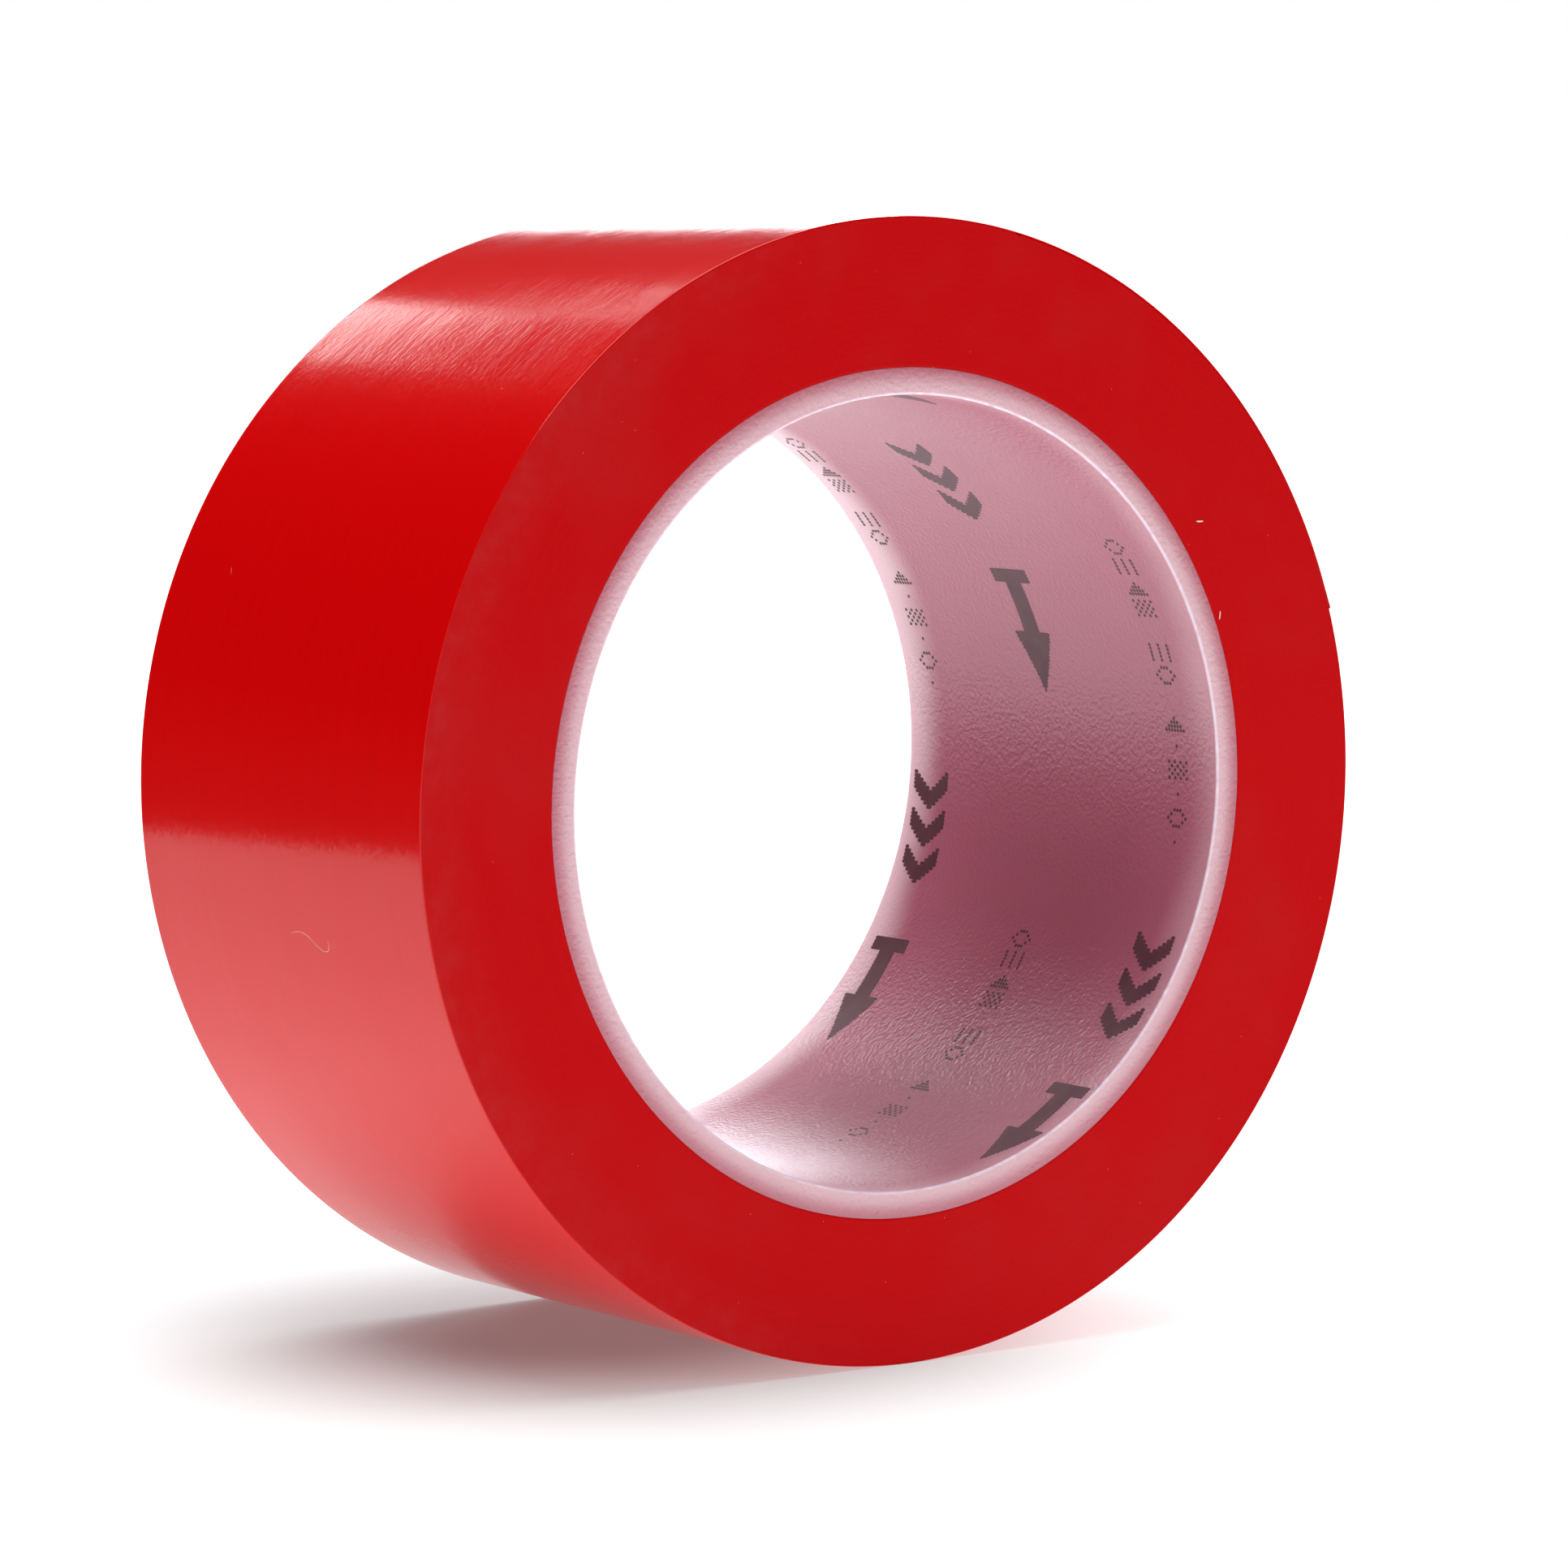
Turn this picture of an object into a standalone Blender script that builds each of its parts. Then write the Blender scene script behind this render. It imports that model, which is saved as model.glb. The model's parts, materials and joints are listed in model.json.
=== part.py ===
"""A roll of vinyl tape on a plastic core, standing on its rim.

The roll's axis is world Y and its front face looks along -Y. The origin is on the surface
that the roll stands on, below the middle of the roll. Angles are in degrees about the
roll's axis, from +X towards +Z. The film is wound so that its free end, the tail, lies on
the right-hand side and lifts off towards +Z. The tail is a chain of short stiff links,
because a flexible film bends a little at every place along its length.
"""

import math

import bmesh
import bpy
from mathutils import Vector

# Driving dimensions, in metres.
TAPE_WIDTH = 0.0508  # 2 in wide
BORE_RADIUS = 0.0381  # for a 3 in hub
CORE_WALL = 0.0026
CORE_EDGE = 0.0004  # the broken edges of the core
ROLL_RADIUS = 0.0550  # out to the outside of the free end
FILM = 0.00013  # film and adhesive together
CLEARANCE = 0.0003  # between neighbouring solids

# The facets of the round shapes, in degrees. A facet is centred on the lowest point.
FACETS = 96
FACET = 360 / FACETS
FIRST_CORNER = FACET / 2

# The tail, from the line where it leaves the roll to its free edge.
TAIL_LINKS = 8
FACETS_PER_LINK = 2
LINK_ANGLE = FACETS_PER_LINK * FACET
TAIL_END = FIRST_CORNER + 4 * FACET
TAIL_START = TAIL_END + TAIL_LINKS * LINK_ANGLE
LOWEST = 270

# Sizes that follow from those.
HALF_WIDTH = TAPE_WIDTH / 2
CORE_RADIUS = BORE_RADIUS + CORE_WALL
TRIM = math.degrees(CLEARANCE / 2 / ROLL_RADIUS)  # half the gap between two links


def polar(radius, angle):
    """A point of the roll's side view, as x and z from the roll's axis."""
    return radius * math.cos(math.radians(angle)), radius * math.sin(math.radians(angle))


def film_radius(angle):
    """The outside of the last turn, which steps in by one film in a whole turn.

    The angle counts up from TAIL_END, where the film ends, to TAIL_END + 360.
    """
    return ROLL_RADIUS - FILM * (angle - TAIL_END) / 360


def corners(start, end):
    """The corners of the facets from one angle up to another, both ends included."""
    count = round((end - start) / FACET)
    return [start + FACET * n for n in range(count + 1)]


AXIS_HEIGHT = film_radius(LOWEST - FACET / 2) * math.cos(math.radians(FACET / 2))


def clear_scene():
    for thing in list(bpy.data.objects):
        bpy.data.objects.remove(thing, do_unlink=True)


def material(name, colour, roughness):
    made = bpy.data.materials.new(name)
    made.use_nodes = True
    shader = made.node_tree.nodes["Principled BSDF"]
    shader.inputs["Base Color"].default_value = (*colour, 1)
    shader.inputs["Roughness"].default_value = roughness
    shader.inputs["Metallic"].default_value = 0
    made.diffuse_color = (*colour, 1)
    return made


def finish_object(name, bm, look, parent, location):
    """An object from a bmesh, shaded smooth between its sharp edges."""
    bmesh.ops.recalc_face_normals(bm, faces=bm.faces)
    mesh = bpy.data.meshes.new(name)
    bm.to_mesh(mesh)
    bm.free()
    mesh.materials.append(look)
    mesh.shade_smooth()
    mesh.set_sharp_from_angle(angle=math.radians(30))
    made = bpy.data.objects.new(name, mesh)
    made.location = location
    made.parent = parent
    bpy.context.collection.objects.link(made)
    return made


def extruded(outlines):
    """A bmesh of closed outlines of x and z, filled and extruded over the tape's width."""
    bm = bmesh.new()
    edges = []
    for outline in outlines:
        ring = [bm.verts.new((x, -HALF_WIDTH, z)) for x, z in outline]
        edges += [bm.edges.new((ring[n - 1], ring[n])) for n in range(len(ring))]
    bmesh.ops.triangle_fill(bm, use_beauty=True, edges=edges, normal=(0, -1, 0))
    made = bmesh.ops.extrude_face_region(bm, geom=bm.faces[:])
    back = [v for v in made["geom"] if isinstance(v, bmesh.types.BMVert)]
    bmesh.ops.translate(bm, vec=(0, TAPE_WIDTH, 0), verts=back)
    return bm


def build_core(look, axis):
    """The core: a plain tube with broken edges, turned about the roll's axis."""
    rims = [(BORE_RADIUS, CORE_EDGE), (BORE_RADIUS + CORE_EDGE, 0),
            (CORE_RADIUS - CORE_EDGE, 0), (CORE_RADIUS, CORE_EDGE)]
    front = [(radius, depth - HALF_WIDTH) for radius, depth in rims]
    back = [(radius, HALF_WIDTH - depth) for radius, depth in reversed(rims)]
    bm = bmesh.new()
    profile = []
    for radius, y in front + back:
        x, z = polar(radius, FIRST_CORNER)
        profile.append(bm.verts.new((x, y, z)))
    edges = [bm.edges.new((profile[n - 1], profile[n])) for n in range(len(profile))]
    bmesh.ops.spin(bm, geom=profile + edges, axis=(0, 1, 0), cent=(0, 0, 0),
                   angle=2 * math.pi, steps=FACETS, use_merge=True)
    return finish_object("core", bm, look, axis, (0, 0, 0))


def build_wound_tape(look, axis):
    """The wound turns, which stick to each other, with a seat for the tail in the last."""
    turn_start, turn_end = TAIL_START + TRIM, TAIL_END + 360 - TRIM
    last_turn = [turn_start] + corners(TAIL_START, TAIL_END + 360)[1:-1] + [turn_end]
    outside = [polar(film_radius(angle), angle) for angle in last_turn]
    under_tail = [TAIL_END - TRIM] + corners(TAIL_END, TAIL_START) + [turn_start]
    seat = [polar(film_radius(angle) - FILM - CLEARANCE, angle) for angle in under_tail]
    inside = [polar(CORE_RADIUS + CLEARANCE, angle)
              for angle in corners(FIRST_CORNER, FIRST_CORNER + 360)[:-1]]
    return finish_object("wound_tape", extruded([outside + seat, inside]), look, axis,
                         (0, 0, 0))


def hinge_place(number):
    """Where link number begins, in the middle of the film, from the roll's axis."""
    angle = TAIL_START - number * LINK_ANGLE
    x, z = polar(film_radius(angle) - FILM / 2, angle)
    return Vector((x, 0, z))


def build_tail(look, axis):
    """The free end of the tape, each link hung on the one before it by its own origin."""
    holder, holder_place = axis, Vector((0, 0, 0))
    for number in range(TAIL_LINKS):
        start = TAIL_START - number * LINK_ANGLE
        end = start - LINK_ANGLE
        angles = [end + TRIM] + corners(end, start)[1:-1] + [start - TRIM]
        outside = [polar(film_radius(angle), angle) for angle in angles]
        inside = [polar(film_radius(angle) - FILM, angle) for angle in reversed(angles)]
        bm = extruded([outside + inside])
        place = hinge_place(number)
        bmesh.ops.translate(bm, vec=-place, verts=bm.verts)
        holder = finish_object(f"tail_{number + 1}", bm, look, holder, place - holder_place)
        holder_place = place


def build_roll():
    clear_scene()
    milky_plastic = material("milky core plastic", (0.72, 0.50, 0.54), 0.35)
    red_vinyl = material("red vinyl film", (0.50, 0.005, 0.008), 0.30)
    axis = bpy.data.objects.new("roll_axis", None)
    axis.location = (0, 0, AXIS_HEIGHT)
    bpy.context.collection.objects.link(axis)
    build_core(milky_plastic, axis)
    build_wound_tape(red_vinyl, axis)
    build_tail(red_vinyl, axis)


build_roll()
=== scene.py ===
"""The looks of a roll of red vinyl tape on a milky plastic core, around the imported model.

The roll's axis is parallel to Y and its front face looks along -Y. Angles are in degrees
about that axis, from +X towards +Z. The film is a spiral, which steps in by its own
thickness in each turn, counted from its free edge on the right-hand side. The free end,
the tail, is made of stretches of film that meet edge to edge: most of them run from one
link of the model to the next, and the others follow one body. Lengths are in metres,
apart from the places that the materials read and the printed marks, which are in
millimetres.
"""

import json
import math

import bmesh
import bpy
import numpy as np
from mathutils import Matrix, Vector, noise


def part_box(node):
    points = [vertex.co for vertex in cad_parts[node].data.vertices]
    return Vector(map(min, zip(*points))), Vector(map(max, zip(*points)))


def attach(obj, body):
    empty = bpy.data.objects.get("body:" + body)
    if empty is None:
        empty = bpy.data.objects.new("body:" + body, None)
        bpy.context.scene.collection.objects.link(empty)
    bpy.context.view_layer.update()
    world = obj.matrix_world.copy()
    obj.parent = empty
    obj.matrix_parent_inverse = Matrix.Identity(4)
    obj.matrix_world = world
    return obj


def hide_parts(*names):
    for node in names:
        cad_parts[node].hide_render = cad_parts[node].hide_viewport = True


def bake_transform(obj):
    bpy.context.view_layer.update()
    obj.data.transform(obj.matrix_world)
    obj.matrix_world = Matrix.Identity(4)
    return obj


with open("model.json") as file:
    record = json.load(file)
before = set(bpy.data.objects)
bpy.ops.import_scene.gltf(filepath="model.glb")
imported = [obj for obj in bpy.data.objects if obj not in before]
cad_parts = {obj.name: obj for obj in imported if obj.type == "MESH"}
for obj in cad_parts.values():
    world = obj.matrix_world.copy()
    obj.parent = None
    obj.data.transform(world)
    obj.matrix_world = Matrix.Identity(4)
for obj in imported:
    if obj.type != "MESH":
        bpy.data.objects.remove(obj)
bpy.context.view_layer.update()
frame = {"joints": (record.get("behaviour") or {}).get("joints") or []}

MM = 0.001

# Sizes that the frame gives. A facet of the model is 3.75 degrees.
HALF_FACET = math.radians(3.75 / 2)
CORE_LOW, CORE_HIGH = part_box("core")
CENTRE = (CORE_LOW + CORE_HIGH) / 2  # the middle of the roll
HALF_WIDTH = CORE_HIGH.y
CORE_RADIUS = (CORE_HIGH.x - CORE_LOW.x) / 2 / math.cos(HALF_FACET)
HINGES = [Vector(joint["pos_m"]) - CENTRE for joint in frame["joints"]]
HINGE_ANGLES = [math.degrees(math.atan2(h.z, h.x)) for h in HINGES]
LINK_ANGLE = HINGE_ANGLES[0] - HINGE_ANGLES[1]
TAIL_START = HINGE_ANGLES[0]
TAIL_END = HINGE_ANGLES[-1] - LINK_ANGLE

# Sizes of the real thing that the frame doesn't hold by itself.
CORE_WALL = 0.0026
BORE_RADIUS = CORE_RADIUS - CORE_WALL
FILM = 0.00013
ROLL_RADIUS = HINGES[0].xz.length + FILM / 2 + FILM * (TAIL_START - TAIL_END) / 360

# How finely the round shapes are divided, in degrees.
STEP = LINK_ANGLE / 8
TAIL_STEP = LINK_ANGLE / 24


def polar(radius, angle, y):
    """A point of the roll, in the shared frame."""
    turn = math.radians(angle)
    return CENTRE.x + radius * math.cos(turn), y, CENTRE.z + radius * math.sin(turn)


def film_radius(angle):
    """The outside of the film. The angle counts up from TAIL_END, where the film ends."""
    return ROLL_RADIUS - FILM * (angle - TAIL_END) / 360


def wobble(x, y):
    """Smooth noise between about -1 and 1, with bumps about 1 wide."""
    return noise.noise(Vector((x, y, 0)))


# Materials


def new_material(name, **values):
    """A material with a Principled node, whose plain values are given by socket name."""
    material = bpy.data.materials.new(name)
    material.use_nodes = True
    sockets = material.node_tree.nodes["Principled BSDF"].inputs
    for key, value in values.items():
        sockets[key.replace("_", " ")].default_value = value
    return material


def add_node(material, kind, settings=None, inputs=None):
    """A new node. An input, by name or number, is a plain value or another node's output."""
    made = material.node_tree.nodes.new("ShaderNode" + kind)
    for key, value in (settings or {}).items():
        setattr(made, key, value)
    for key, value in (inputs or {}).items():
        if isinstance(value, bpy.types.NodeSocket):
            material.node_tree.links.new(value, made.inputs[key])
        else:
            made.inputs[key].default_value = value
    return made


def feed(material, socket_name, value):
    """Links an output to a socket of the Principled node."""
    socket = material.node_tree.nodes["Principled BSDF"].inputs[socket_name]
    material.node_tree.links.new(value, socket)


def attribute(material, name):
    """The node that reads what a mesh stores under that name."""
    return add_node(material, "Attribute", {"attribute_name": name})


def stretched(material, vector, scale):
    """The coordinates times a scale for each axis."""
    return add_node(material, "Mapping", inputs={"Vector": vector, "Scale": scale}).outputs[0]


def grain(material, vector, scale, detail=2.0, roughness=0.5):
    """Noise from 0 to 1."""
    inputs = {"Vector": vector, "Scale": scale, "Detail": detail, "Roughness": roughness}
    return add_node(material, "TexNoise", inputs=inputs).outputs["Fac"]


def ramp(material, value, start, end, low=0.0, high=1.0):
    """The value eased from low, at start, to high, at end."""
    inputs = {0: value, 1: start, 2: end, 3: low, 4: high}
    return add_node(material, "MapRange", {"interpolation_type": "SMOOTHSTEP"}, inputs).outputs[0]


def calculated(material, operation, a, b):
    """The result of a Math node."""
    return add_node(material, "Math", {"operation": operation}, {0: a, 1: b}).outputs[0]


def blended(material, share, first, second):
    """One colour at share 0, the other at share 1."""
    inputs = {0: share, 6: first, 7: second}
    return add_node(material, "Mix", {"data_type": "RGBA"}, inputs).outputs[2]


def relief(material, height, depth, under=None):
    """A bump of that depth in metres, on top of another one."""
    inputs = {"Height": height, "Distance": depth}
    if under is not None:
        inputs["Normal"] = under
    return add_node(material, "Bump", inputs=inputs).outputs[0]


def specks(material, vector, per_mm, size_mm, share):
    """Small round spots, 1 inside and 0 outside, in only a share of the cells."""
    inputs = {"Vector": vector, "Scale": per_mm}
    cells = add_node(material, "TexVoronoi", {"feature": "F1"}, inputs)
    size = size_mm * per_mm
    spot = ramp(material, cells.outputs["Distance"], size, size * 0.6)
    picked = add_node(material, "SeparateColor", inputs={0: cells.outputs["Color"]}).outputs[0]
    return calculated(material, "MULTIPLY", spot, calculated(material, "LESS_THAN", picked, share))


def film_material():
    """Glossy deep red vinyl, with the fine lengthwise wrinkles of calendered film."""
    look = new_material("vinyl_film", IOR=1.38)
    place = attribute(look, "film_place").outputs["Vector"]
    streaks = grain(look, stretched(look, place, (0.03, 0.9, 1)), 1.0, 3.0)
    red = blended(look, streaks, (0.565, 0.0004, 0.0010, 1), (0.62, 0.0007, 0.0014, 1))
    dust = specks(look, place, 0.16, 0.13, 0.5)
    red = blended(look, dust, red, (0.62, 0.22, 0.18, 1))
    # The cut at the free edge has stretched the film, which makes it paler there.
    along = add_node(look, "SeparateXYZ", inputs={0: place}).outputs[0]
    cut = ramp(look, along, 0.45, 0.05, 0.0, 0.55)
    feed(look, "Base Color", blended(look, cut, red, (0.66, 0.10, 0.09, 1)))
    wrinkles = grain(look, stretched(look, place, (1.3, 2.6, 1)), 1.0, 2.0, 0.5)
    long_folds = grain(look, stretched(look, place, (0.32, 0.95, 1)), 1.0, 2.0, 0.5)
    swells = grain(look, stretched(look, place, (0.05, 0.12, 1)), 1.0, 1.0)
    feed(look, "Roughness", ramp(look, wrinkles, 0.3, 0.7, 0.115, 0.15))
    coarse = relief(look, long_folds, 0.000013, relief(look, swells, 0.00005))
    feed(look, "Normal", relief(look, wrinkles, 0.000011, coarse))
    return look


def adhesive_material():
    """The sticky side of the film: the red shows through a clear, slightly uneven layer."""
    look = new_material("adhesive", IOR=1.47)
    place = attribute(look, "film_place").outputs["Vector"]
    blotches = grain(look, stretched(look, place, (0.15, 0.4, 1)), 1.0, 4.0, 0.6)
    red = blended(look, blotches, (0.40, 0.012, 0.014, 1), (0.50, 0.03, 0.03, 1))
    feed(look, "Base Color", red)
    feed(look, "Roughness", ramp(look, blotches, 0.3, 0.7, 0.29, 0.45))
    feed(look, "Normal", relief(look, blotches, 0.00002))
    return look


def wound_material():
    """The cut edges of the turns: matt red, with fine rings, a little dust and paler scuffs."""
    look = new_material("wound_edges", Specular_IOR_Level=0.05)
    place = attribute(look, "wound_place").outputs["Vector"]
    flat = add_node(look, "TexCoord").outputs["Object"]
    rings = grain(look, stretched(look, place, (1.2, 1.2, 0.55)), 1.0, 4.0, 0.6)
    fuzz = grain(look, flat, 2600.0, 2.0)
    cloud = grain(look, flat, 42.0, 3.0, 0.6)
    red = blended(look, rings, (0.47, 0.0010, 0.0026, 1), (0.52, 0.0020, 0.0040, 1))
    red = blended(look, ramp(look, cloud, 0.45, 0.72, 0.0, 0.5), red, (0.455, 0.010, 0.011, 1))
    # The scuffs are on the left, and only on the outer half of the turns.
    turns_in = add_node(look, "SeparateXYZ", inputs={0: place}).outputs[2]
    sideways = add_node(look, "SeparateXYZ", inputs={0: flat}).outputs[0]
    patches = ramp(look, grain(look, flat, 420.0, 4.0, 0.6), 0.35, 0.75, 0.1, 0.34)
    scuffed = calculated(look, "MULTIPLY", ramp(look, turns_in, 55.0, 0.0), patches)
    scuffed = calculated(look, "MULTIPLY", scuffed, ramp(look, sideways, 0.0, -0.03))
    red = blended(look, scuffed, red, (0.45, 0.032, 0.032, 1))
    dust = specks(look, flat, 700.0, 0.00006, 0.18)
    feed(look, "Base Color", blended(look, dust, red, (0.62, 0.18, 0.14, 1)))
    feed(look, "Roughness", ramp(look, cloud, 0.3, 0.7, 0.52, 0.66))
    feed(look, "Normal", relief(look, fuzz, 0.00003, relief(look, rings, 0.000015)))
    return look


def core_material():
    """Milky plastic: pink where the red tape shows through, with painted light: white near its ends
    and a highlight on the burr.
    """
    look = new_material("core_plastic", IOR=1.68, Subsurface_Weight=0.35,
                        Subsurface_Radius=(1.0, 0.55, 0.6), Subsurface_Scale=0.002)
    place = attribute(look, "core_place").outputs["Vector"]
    from_front, into_wall, from_back = add_node(look, "SeparateXYZ", inputs={0: place}).outputs
    flat = add_node(look, "TexCoord").outputs["Object"]
    cloud = grain(look, flat, 60.0, 2.0)
    uneven = ramp(look, cloud, 0.2, 0.8, -1.0, 1.0)
    # Painted light: the wall is painted paler towards the front end, and paler still towards the
    # back end, as if lit through the ends.
    painted_glow_front = ramp(look, calculated(look, "ADD", from_front, uneven), 5.0, 0.0)
    painted_glow_back = ramp(look, calculated(look, "ADD", from_back, uneven), 7.0, 0.0)
    wall = blended(look, painted_glow_front, (0.465, 0.14, 0.205, 1), (0.60, 0.31, 0.38, 1))
    wall = blended(look, painted_glow_back, wall, (0.86, 0.66, 0.72, 1))
    through_wall = ramp(look, into_wall, 0.4, 2.6)
    ring = blended(look, through_wall, (0.69, 0.44, 0.49, 1), (0.48, 0.135, 0.18, 1))
    milky = blended(look, ramp(look, into_wall, 0.0, 0.3), wall, ring)
    # Painted highlight: the burr round the bore is painted bluish white.
    bright = attribute(look, "burr_painted_highlight").outputs["Fac"]
    feed(look, "Base Color", blended(look, bright, milky, (0.88, 0.82, 0.93, 1)))
    peel = grain(look, flat, 2300.0, 1.0, 0.5)
    feed(look, "Roughness", ramp(look, cloud, 0.3, 0.7, 0.28, 0.33))
    feed(look, "Normal", relief(look, peel, 0.00009))
    return look


def ink_material():
    """Thin grey ink, which lets some of the pink through."""
    look = new_material("core_ink", Roughness=0.42, IOR=1.45)
    flat = add_node(look, "TexCoord").outputs["Object"]
    patchy = grain(look, flat, 350.0, 3.0, 0.6)
    grey = blended(look, patchy, (0.075, 0.024, 0.038, 1), (0.16, 0.065, 0.085, 1))
    feed(look, "Base Color", grey)
    return look


def lint_material():
    """Pale fibres, a little uneven."""
    look = new_material("lint", Roughness=0.7)
    flat = add_node(look, "TexCoord").outputs["Object"]
    pale = blended(look, grain(look, flat, 900.0), (0.75, 0.55, 0.45, 1), (0.85, 0.75, 0.68, 1))
    feed(look, "Base Color", pale)
    return look


# Meshes


def finish_mesh(name, vertices, faces, looks, sharp=40):
    """An object from points and faces, with its faces pointing out, shaded smooth."""
    mesh = bpy.data.meshes.new(name)
    mesh.from_pydata(vertices, [], faces)
    bm = bmesh.new()
    bm.from_mesh(mesh)
    bmesh.ops.recalc_face_normals(bm, faces=bm.faces)
    bm.to_mesh(mesh)
    bm.free()
    mesh.shade_smooth()
    mesh.set_sharp_from_angle(angle=math.radians(sharp))
    for look in looks:
        mesh.materials.append(look)
    made = bpy.data.objects.new(name, mesh)
    bpy.context.scene.collection.objects.link(made)
    return made


def give_places(obj, name, places):
    """Stores a vector on each point, for a material to read."""
    stored = obj.data.attributes.new(name, "FLOAT_VECTOR", "POINT")
    stored.data.foreach_set("vector", np.asarray(places, np.float32).ravel())


def ring_faces(rows, columns, closed):
    """Faces over rows of points, each row a closed loop. Closed joins the last row to the first."""
    made = []
    for row in range(rows if closed else rows - 1):
        here, there = row * columns, (row + 1) % rows * columns
        for column in range(columns):
            after = (column + 1) % columns
            made.append((here + column, here + after, there + after, there + column))
    return made


# How the corners of the core are rounded, and how finely its section is divided.
BORE_EDGE = 0.0003
TAPE_EDGE = 0.00008
CORNER_STEPS = 6
END_SHARES = (0.25, 0.5, 0.75)
OUTER_SHARES = (-0.5, 0, 0.5)
BORE_SHARES = np.linspace(1, -1, 27)[1:-1]

BURR = 0.00004  # how far the edge of the bore stands out, on average


def core_loop():
    """The core's section, as radius and y: up the front end, back outside, down, and the bore."""
    turns = [math.pi / 2 * n / CORNER_STEPS for n in range(CORNER_STEPS + 1)]
    end = []  # radius and distance from the end
    for turn in turns:
        rise, depth = BORE_EDGE * (1 - math.cos(turn)), BORE_EDGE * (1 - math.sin(turn))
        end.append((BORE_RADIUS + rise, depth))
    for share in END_SHARES:
        end.append((BORE_RADIUS + BORE_EDGE + (CORE_WALL - BORE_EDGE - TAPE_EDGE) * share, 0))
    for turn in turns:
        drop, depth = TAPE_EDGE * (1 - math.sin(turn)), TAPE_EDGE * (1 - math.cos(turn))
        end.append((CORE_RADIUS - drop, depth))
    loop = [(radius, depth - HALF_WIDTH) for radius, depth in end]
    loop += [(CORE_RADIUS, share * HALF_WIDTH) for share in OUTER_SHARES]
    loop += [(radius, HALF_WIDTH - depth) for radius, depth in reversed(end)]
    loop += [(BORE_RADIUS, share * HALF_WIDTH) for share in BORE_SHARES]
    return loop


def build_core(look):
    """The core, turned from its section, with a slight ragged burr round both ends of the bore.

    It stores how strongly the burr is painted with a highlight, and how far a point is from
    the front end, into the wall, and from the back end.
    """
    loop = core_loop()
    vertices, places, edges = [], [], []
    angles = np.arange(0, 360, STEP)
    for angle in angles:
        ragged = wobble(angle * 0.9, 3.0) + 0.6 * wobble(angle * 2.3, 8.0)
        for radius, y in loop:
            from_end, into_wall = HALF_WIDTH - abs(y), radius - BORE_RADIUS
            at_edge = max(0, 1 - math.hypot(from_end, into_wall) / BORE_EDGE)
            burr = BURR * (1 + ragged) * at_edge
            vertices.append(polar(radius - burr, angle, y + math.copysign(burr, y)))
            places.append(((HALF_WIDTH + y) / MM, into_wall / MM, (HALF_WIDTH - y) / MM))
            # Painted highlight: strongest at the bore's edge, and uneven along it.
            edges.append(min(1, max(0, 1.3 * at_edge * (1 + 0.6 * ragged))))
    made = finish_mesh("core_tube", vertices, ring_faces(len(angles), len(loop), True), [look])
    give_places(made, "core_place", places)
    made.data.attributes.new("burr_painted_highlight", "FLOAT", "POINT").data.foreach_set("value", edges)
    return made


def build_wound_turns(look):
    """The turns under the last one. Their cut edges stand a little in and out, turn by turn.

    They store the direction of a point from the axis, and how many turns it is inside.
    """
    rings, outside_columns = 48, 5
    from_core, from_last_turn, from_film_edge = 0.000012, 0.000005, 0.000004
    unevenness, corner = 0.000012, 0.00004
    inside = CORE_RADIUS + from_core
    vertices, places = [], []
    angles = [TAIL_START + STEP * n for n in range(round(360 / STEP))]
    for angle in angles:
        outside = film_radius(angle) - FILM - from_last_turn
        turn_share = (angle - TAIL_START) / 360
        faces = []  # radius and y, from the core outwards, on the front and on the back
        for side in (-1, 1):
            face = []
            for n in range(rings + 1):
                radius = inside + (outside - inside) * n / rings
                turns = (outside - radius) / FILM + turn_share
                uneven = 1 + wobble(turns * 0.37, 10 * side) + 0.6 * wobble(turns * 2.3, 20 * side)
                inset = max(0, unevenness * uneven)
                face.append((radius, side * (HALF_WIDTH - inset - from_film_edge)))
            face[0] = (inside, side * (HALF_WIDTH - corner))
            face.insert(1, (inside + corner, face[1][1]))
            faces.append(face)
        across = [HALF_WIDTH * (2 * n / outside_columns - 1) for n in range(1, outside_columns)]
        ring = faces[0] + [(outside, y) for y in across] + faces[1][::-1]
        for radius, y in ring:
            turn = math.radians(angle)
            vertices.append(polar(radius, angle, y))
            places.append((math.cos(turn), math.sin(turn), (outside - radius) / FILM + turn_share))
    made = finish_mesh("wound_turns", vertices, ring_faces(len(angles), len(ring), True), [look])
    give_places(made, "wound_place", places)
    return made


def film_profile():
    """The film's section: y and depth from its outside, over the top and back underneath."""
    edge = [(0, 0.00005), (0.000015, 0.000018), (0.00005, 0), (0.0002, 0), (0.001, 0)]
    inner = np.linspace(-1, 1, 25)[1:-1] * (HALF_WIDTH - edge[-1][0])
    top = [(inset - HALF_WIDTH, depth) for inset, depth in edge]
    top += [(y, 0) for y in inner]
    top += [(HALF_WIDTH - inset, depth) for inset, depth in reversed(edge)]
    underneath = FILM * 0.93
    return top + [(y, underneath) for y, _ in reversed(top)]


FILM_PROFILE = film_profile()
SWELL = 0.000006  # how far the film stands in and out
SWELL_LENGTH_MM, SWELL_WIDTH_MM = 11, 9
FREE_EDGE_LIFT = 0.00008
LIFTED_MM = 2.6  # how far from the free edge the lift begins
LEADING_JOINTS = ("peel", "curl")  # the joints that the others follow


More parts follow.
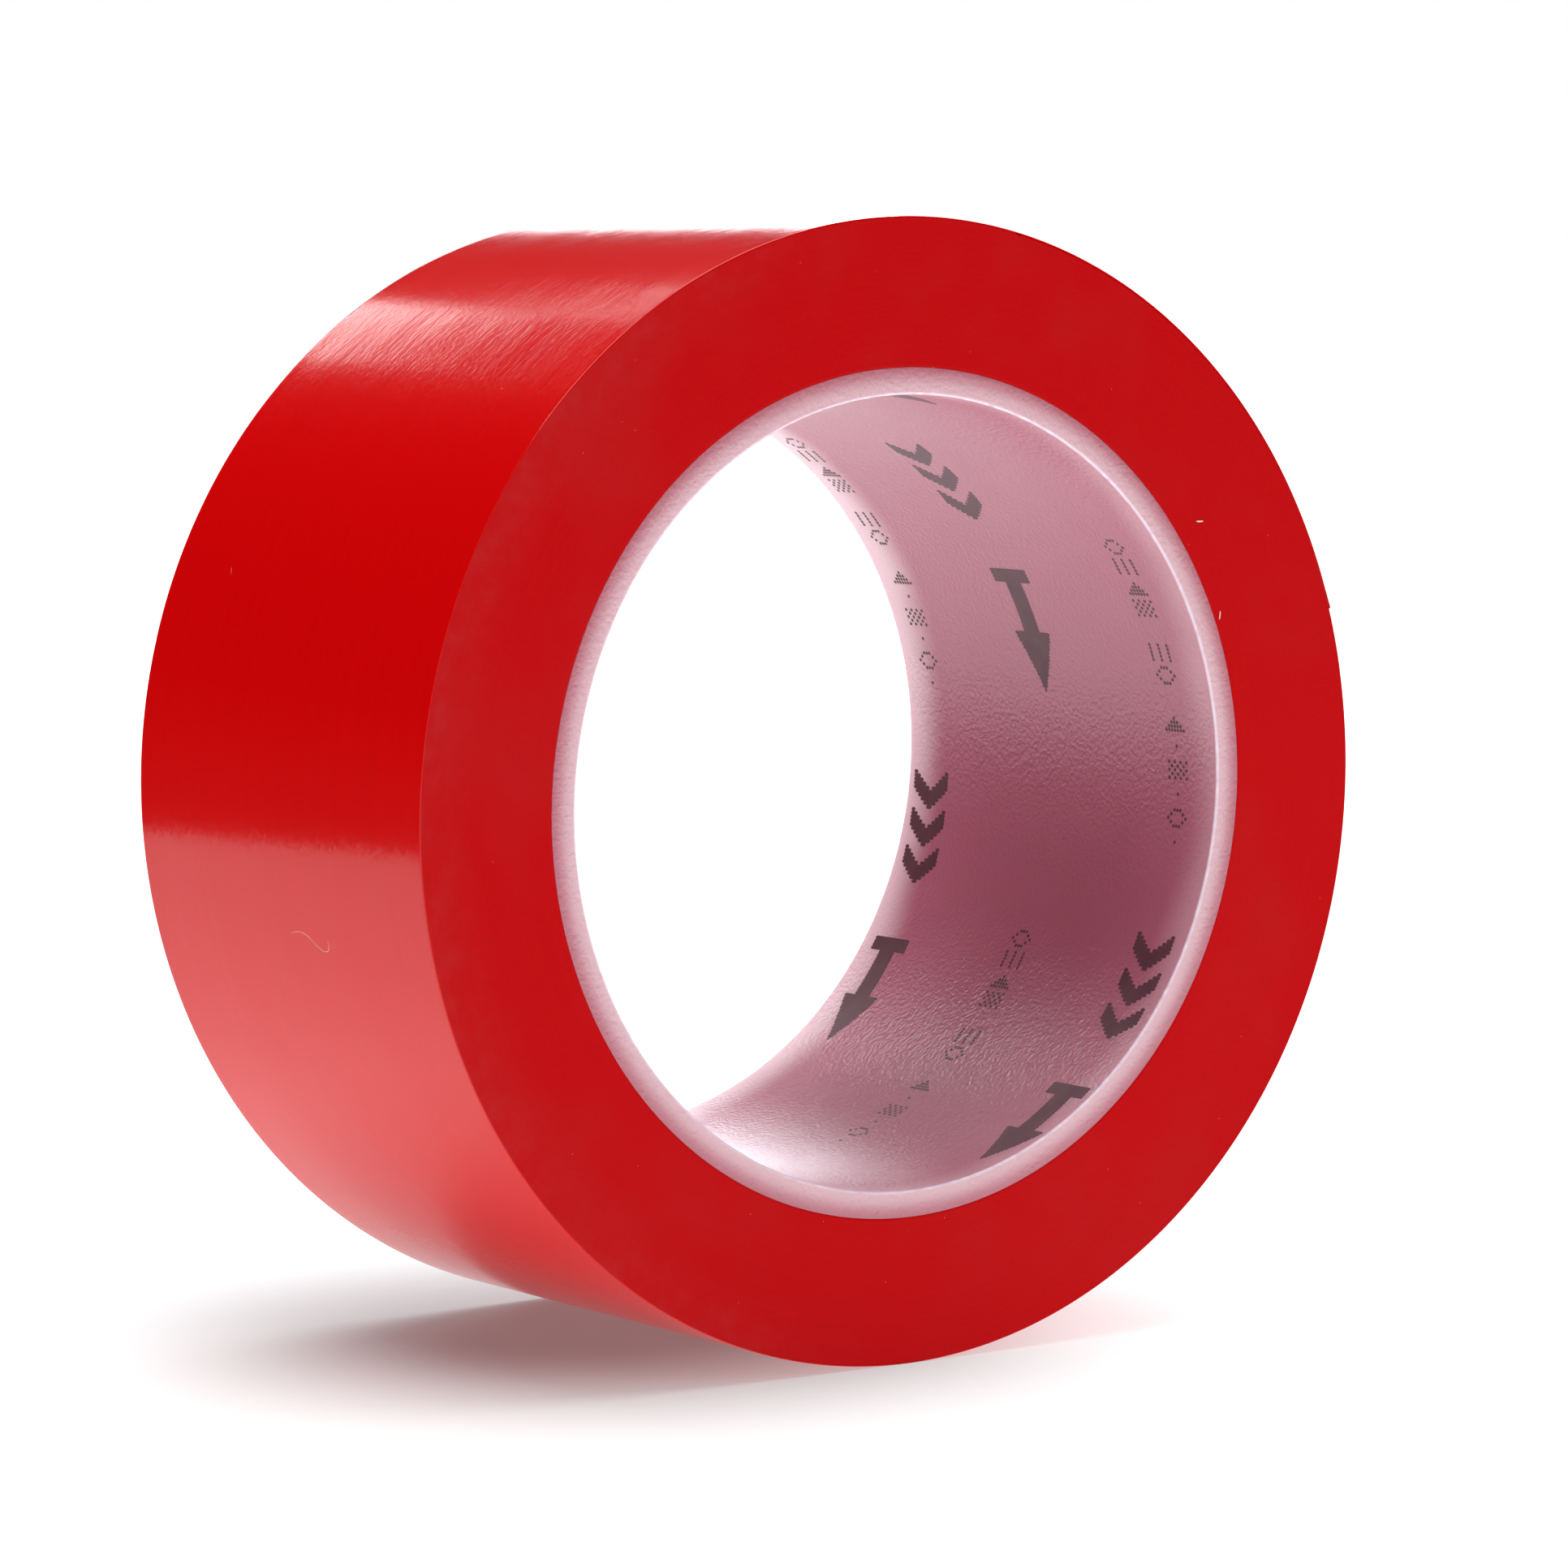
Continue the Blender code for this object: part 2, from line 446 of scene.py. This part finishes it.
def build_film(name, start, end, step, looks):
    """A stretch of the film between two angles, as one closed strip.

    It stores how far along the film a point is from the free edge, and how far across it is
    from the middle.
    """
    count = round((end - start) / step)
    columns = len(FILM_PROFILE)
    vertices, places = [], []
    for n in range(count + 1):
        angle = start + (end - start) * n / count
        along = math.radians(angle - TAIL_END) * ROLL_RADIUS / MM
        for y, depth in FILM_PROFILE:
            lift = SWELL * wobble(along / SWELL_LENGTH_MM, y / MM / SWELL_WIDTH_MM)
            lift += FREE_EDGE_LIFT * max(0, 1 - along / LIFTED_MM) ** 2
            vertices.append(polar(film_radius(angle) - depth + lift, angle, y))
            places.append((along, y / MM, 0))
    faces = ring_faces(count + 1, columns, False)
    for row in (0, count):
        first, last = row * columns, (row + 1) * columns - 1
        for n in range(columns // 2 - 1):
            faces.append((first + n, first + n + 1, last - 1 - n, last - n))
    made = finish_mesh(name, vertices, faces, looks, 60)
    give_places(made, "film_place", places)
    if len(looks) > 1:
        under = columns // 2
        for face in made.data.polygons:
            if all(vertex % columns >= under for vertex in face.vertices):
                face.material_index = 1
    return made


# The marks printed round the inside of the core, in millimetres: u along a mark, v across it.

BOLD_HALF = 2.75  # half the width of a bold mark
CHEVRON_PITCH = 4.0
CHEVRON_STROKE = 2.0
CHEVRON_SWEEP = 0.75
CHEVRONS_LENGTH = 3 * CHEVRON_PITCH
ARROW_START = 18.3  # from the start of the chevrons
ARROW_LENGTH = 13.6
BAR_END = 1.6
SHAFT_END = 7.4
SHAFT_HALF = 1.15
FINE_START = 57  # from the start of the chevrons
FINE_ADVANCE = 2.4
FINE_STRETCH = 1.12  # how much farther apart the dots are across a sign than along it
PRINT_PITCH = 0.4
DIAMOND = ("..#..", ".#.#.", "#...#", "#...#", "#...#", ".#.#.", "..#..")
WEDGE = ("....#", "...##", "..###", ".####", "..###", "...##", "....#")
BARS = ("#####", ".....", ".....", "#####", ".....", ".....", "#####")
CHECK = ("#.#.#", ".#.#.", "#.#.#", ".#.#.", "#.#.#", ".#.#.", "#.#.#")
DOT = (".....", ".....", ".....", "..#..", ".....", ".....", ".....")
GAP = ()
FINE_ROW = (DIAMOND, BARS, WEDGE, CHECK, GAP, BARS, DIAMOND, GAP,
            WEDGE, DOT, CHECK, DOT, DIAMOND, DOT)


def in_chevrons(u, v):
    """Three bold chevrons, one after another."""
    swept = u + CHEVRON_SWEEP * (abs(v) - BOLD_HALF)
    return swept > 0 and swept % CHEVRON_PITCH < CHEVRON_STROKE


def in_arrow(u, v):
    """A bold arrow with a bar across its tail."""
    if u < BAR_END:
        return True
    if u < SHAFT_END:
        return abs(v) < SHAFT_HALF
    return abs(v) < BOLD_HALF * (ARROW_LENGTH - u) / (ARROW_LENGTH - SHAFT_END)


def bold_dashes(inside, length):
    """The strokes of a bold mark, printed as thin dashes across it: u, then v from and to."""
    samples = np.linspace(-BOLD_HALF, BOLD_HALF, 45)
    dashes = []
    for n in range(int(length / PRINT_PITCH)):
        u = (n + 0.5) * PRINT_PITCH
        start = None
        for v, ahead in zip(samples, [*samples[1:], None]):
            if inside(u, v) and start is None:
                start = v
            if start is not None and (ahead is None or not inside(u, ahead)):
                dashes.append((u, start, v))
                start = None
    return dashes


def fine_dots():
    """The dots of a row of small signs, as dashes of no length."""
    dots = []
    for place, sign in enumerate(FINE_ROW):
        for row, line in enumerate(sign):
            for column, mark in enumerate(line):
                if mark == "#":
                    u = place * FINE_ADVANCE + column * PRINT_PITCH
                    v = (3 - row) * FINE_STRETCH * PRINT_PITCH
                    dots.append((u, v, v))
    return dots


def build_print(look):
    """The marks as thin raised ink, in rows that run round the bore and slant a little."""
    half_dash, thickness, sunk, slant = 0.205, 0.012 * MM, 0.02 * MM, -0.052
    missing, raggedness = 0.006, 0.012
    bold = bold_dashes(in_chevrons, CHEVRONS_LENGTH)
    bold += [(u + ARROW_START, low, high) for u, low, high in bold_dashes(in_arrow, ARROW_LENGTH)]
    fine = [(u + FINE_START, low, high) for u, low, high in fine_dots()]
    # The angle and the place across where each row begins, and what it holds.
    rows = ((206, 8.0, bold), (58, 3.0, bold + fine), (143.5, 25.4, fine),
            (-4.5, 21.5, bold), (123, -15.0, bold + fine), (-25, -20.5, bold))
    random = np.random.default_rng(4)
    vertices, faces = [], []
    for first_angle, row_y, dashes in rows:
        for u, low, high in dashes:
            thin = 0.98 if low == high else 1
            if random.random() < missing:
                continue
            outline = []
            for k in range(8):
                turn = math.pi * (k // 4 + (k % 4) / 3)
                reach = (high if k < 4 else low) + thin * half_dash * math.sin(turn)
                along = u + thin * half_dash * math.cos(turn)
                outline.append((along, reach + random.normal(0, raggedness)))
            base, count = len(vertices), len(outline)
            for lift in (-sunk, thickness):
                for along, across in outline:
                    angle = first_angle - math.degrees(along * MM / BORE_RADIUS)
                    y = (row_y + across + slant * along) * MM
                    vertices.append(polar(BORE_RADIUS - lift, angle, y))
            faces.append(tuple(base + k for k in range(count)))
            faces.append(tuple(base + count + k for k in reversed(range(count))))
            for k in range(count):
                after = (k + 1) % count
                faces.append((base + k, base + after, base + count + after, base + count + k))
    return finish_mesh("core_print", vertices, faces, [look])


def build_lint(look):
    """A hair and a fibre on the film, and a chip and a sliver on the front face."""
    thickness = 0.00002
    curve = bpy.data.curves.new("lint", "CURVE")
    curve.dimensions = "3D"
    curve.bevel_depth = thickness
    curve.bevel_resolution = 1
    curve.use_fill_caps = True
    on_film = ROLL_RADIUS - FILM / 2
    on_face = -HALF_WIDTH - thickness
    # The angle and the place across on the film, and the radius and angle on the face.
    hair = ((192.6, -0.6), (192.2, -2.0), (192.6, -3.6), (193.6, -5.0), (194.1, -6.3),
            (193.5, -7.2), (192.7, -7.0))
    fibre = ((156.4, 15.4), (157.0, 15.1), (157.6, 14.9), (158.3, 14.4))
    chip = ((43.3, 35.5), (43.6, 35.2), (43.95, 34.9))
    sliver = ((41.2, 21.9), (41.45, 22.4), (41.6, 22.9))
    strands = []
    for points, width in ((hair, 1.0), (fibre, 1.0)):
        strands.append(([polar(on_film, angle, y * MM) for angle, y in points], width))
    for points, width in ((chip, 7.0), (sliver, 4.5)):
        strands.append(([polar(radius * MM, angle, on_face) for radius, angle in points], width))
    for points, width in strands:
        spline = curve.splines.new("NURBS")
        spline.points.add(len(points) - 1)
        spline.order_u = 3
        spline.use_endpoint_u = True
        for n, (point, place) in enumerate(zip(spline.points, points)):
            point.co = (*place, 1)
            point.radius = width * (0.35 if n in (0, len(points) - 1) else 1)
    curve.materials.append(look)
    made = bpy.data.objects.new("lint", curve)
    bpy.context.scene.collection.objects.link(made)
    return made


def build_rigid_film(name, start, end, body, looks):
    """A stretch of the free end that follows one body only. No length needs no stretch."""
    if end - start > TAIL_STEP / 2:
        stretch = build_film(name, start, end, TAIL_STEP, looks)
        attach(stretch, body)


def build_tail(film, adhesive):
    """The free end. Most stretches run from the middle of one link to the middle of the next.

    At a hinge that can move while the film before it still lies on the roll, the stretch
    begins at the hinge, and the film before it is a stretch that follows the body before.
    """
    looks = [film, adhesive]
    at, holder = TAIL_START, "roll"
    for hinge, joint in zip(HINGE_ANGLES, frame["joints"]):
        body, start, end = joint["child"], at, hinge - LINK_ANGLE / 2
        if joint["name"] in LEADING_JOINTS:
            start = hinge
            build_rigid_film(f"film_before_{joint['name']}", start, at, holder, looks)
        stretch = build_film(f"film_{body}", end, start, TAIL_STEP, looks)
        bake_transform(stretch)
        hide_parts(body)
        at, holder = end, body
    build_rigid_film("film_free_edge", TAIL_END, at, holder, looks)


def build_roll():
    """Every piece of the roll; the pieces that follow one body are attached to it."""
    film, wound, plastic = film_material(), wound_material(), core_material()
    adhesive = adhesive_material()
    core = build_core(plastic)
    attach(core, "roll")
    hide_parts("core")
    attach(build_print(ink_material()), "roll")
    turns = build_wound_turns(wound)
    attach(turns, "roll")
    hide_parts("wound_tape")
    last_turn = build_film("last_turn", TAIL_START, TAIL_START + 360 - STEP, STEP, [film])
    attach(last_turn, "roll")
    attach(build_lint(lint_material()), "roll")
    build_tail(film, adhesive)


# Stage


def direction(azimuth, elevation):
    """A unit vector. Azimuth 0 looks along +Y and 90 along +X."""
    a, e = math.radians(azimuth), math.radians(elevation)
    return Vector((math.sin(a) * math.cos(e), math.cos(a) * math.cos(e), math.sin(e)))


def softbox(name, azimuth, elevation, distance, width, height, radiance, tint):
    """A rectangular light that faces the roll, given by how bright its surface looks."""
    light = bpy.data.lights.new(name, "AREA")
    light.shape = "RECTANGLE"
    light.size = width
    light.size_y = height
    light.energy = radiance * math.pi * width * height
    light.color = tint
    made = bpy.data.objects.new(name, light)
    away = direction(azimuth, elevation)
    made.location = CENTRE + away * distance
    made.rotation_euler = away.to_track_quat("Z", "Y").to_euler()
    bpy.context.scene.collection.objects.link(made)
    return made


def plain_sheet(name, place, width, height, look):
    """A flat rectangle in its own X and Y, which belongs to the stage."""
    x, y = width / 2, height / 2
    mesh = bpy.data.meshes.new(name)
    mesh.from_pydata([(-x, -y, 0), (x, -y, 0), (x, y, 0), (-x, y, 0)], [], [(0, 1, 2, 3)])
    mesh.materials.append(look)
    made = bpy.data.objects.new(name, mesh)
    made.matrix_world = place
    bpy.context.scene.collection.objects.link(made)
    return made


def floor_material():
    """White, and lit from inside, more so farther from the roll, so that no horizon shows."""
    look = new_material("floor_white", Base_Color=(0.3, 0.3, 0.3, 1), Roughness=0.9,
                        Emission_Color=(1, 1, 1, 1))
    place = add_node(look, "TexCoord").outputs["Object"]
    # The glow dims in a painted shadow, a little behind and to the left of the middle of the roll.
    shifted = {"Vector": place, "Location": (0.014, -0.010, 0)}
    place = add_node(look, "Mapping", inputs=shifted).outputs[0]
    distance = add_node(look, "VectorMath", {"operation": "LENGTH"}, {0: place}).outputs["Value"]
    near = ramp(look, distance, 0.012, 0.065, 0.14, 0.74)
    far = ramp(look, distance, 0.3, 1.2, 0.0, 0.45)
    feed(look, "Emission Strength", calculated(look, "ADD", near, far))
    return look


def build_flag():
    """A black card behind the roll, on the left, that hides the far floor from the glossy film.

    Only reflections see it.
    """
    azimuth, distance, width, height = -32, 0.34, 0.5, 0.1
    black = new_material("flag_black", Base_Color=(0, 0, 0, 1), Roughness=1.0)
    away = direction(azimuth, 0)
    middle = away * distance + Vector((0, 0, height / 2))
    facing = away.to_track_quat("Z", "Y").to_matrix().to_4x4()
    flag = plain_sheet("flag", Matrix.Translation(middle) @ facing, width, height, black)
    flag.visible_camera = False
    flag.visible_diffuse = False
    flag.visible_shadow = False


WHITE, BLUISH, BLUER = (1, 1, 1), (0.92, 0.95, 1.0), (0.90, 0.94, 1.0)

# Name, azimuth, elevation, distance, width, height, radiance and tint.
SOFTBOXES = (
    ("top", 10, 84, 1.0, 1.2, 1.2, 3.7, WHITE),
    # From behind: the highlight on the film, the haze round it, and the bottom of the bore.
    ("rear", 6.8, 22.8, 1.0, 0.17, 0.34, 4.1, WHITE),
    ("rear_right", 14.5, 34.0, 1.0, 0.10, 0.035, 2.0, WHITE),
    ("rear_high", 27, 38.0, 1.0, 0.30, 0.14, 2.4, WHITE),
    ("rear_haze", 20, 28, 1.0, 0.34, 0.34, 0.05, WHITE),
    # From behind on the right: the wall of the bore.
    ("backdrop", 57, 6, 0.9, 1.10, 0.37, 5.5, BLUISH),
    ("backdrop_high", 52, 28, 1.0, 0.62, 0.30, 4.4, BLUER),
    # From the left and from the front: the film's side and the front face.
    ("left_high", -70, 70, 1.1, 0.6, 0.6, 1.2, WHITE),
    ("front_high", 184, 38, 1.2, 0.6, 0.6, 2.2, WHITE),
)


def build_lights(lowest):
    """The softboxes, and a light just above the floor that shines up, as a white floor does."""
    for box in SOFTBOXES:
        softbox(*box)
    above_floor = 0.00005
    glow = softbox("floor_glow", 0, 90, 1.0, 0.8, 0.8, 0.65, WHITE)
    glow.location = (0, 0, lowest + above_floor)
    glow.rotation_euler = (math.pi, 0, 0)
    glow.visible_glossy = False


def build_world():
    """White where the camera looks past the floor, and nearly black to everything else."""
    world = bpy.data.worlds.new("studio")
    bpy.context.scene.world = world
    world.use_nodes = True
    tree = world.node_tree
    background = tree.nodes["Background"]
    background.inputs["Color"].default_value = (1, 1, 1, 1)
    path = tree.nodes.new("ShaderNodeLightPath")
    strength = tree.nodes.new("ShaderNodeMapRange")
    strength.inputs["To Min"].default_value = 0.01
    strength.inputs["To Max"].default_value = 1.0
    tree.links.new(path.outputs["Is Camera Ray"], strength.inputs["Value"])
    tree.links.new(strength.outputs[0], background.inputs["Strength"])


def build_stage():
    """The floor, under the lowest point of the roll, and all that lights the roll."""
    lowest = CENTRE.z - film_radius(270)
    floor_size = 12
    floor_place = Matrix.Translation((0, 0, lowest))
    plain_sheet("floor", floor_place, floor_size, floor_size, floor_material())
    build_flag()
    build_lights(lowest)
    build_world()


def build_camera():
    """The camera, in front of the roll and on its left, looking down a little."""
    camera = bpy.data.cameras.new("camera")
    camera.sensor_width = 36
    camera.lens = 139.2
    made = bpy.data.objects.new("camera", camera)
    made.location = (-0.3443, -0.4870, 0.1076)
    looks_along = direction(35.536, -5.129)
    made.rotation_euler = (-looks_along).to_track_quat("Z", "Y").to_euler()
    bpy.context.scene.collection.objects.link(made)
    bpy.context.scene.camera = made
    bpy.context.scene.view_settings.view_transform = "Standard"


build_camera()
build_roll()
build_stage()
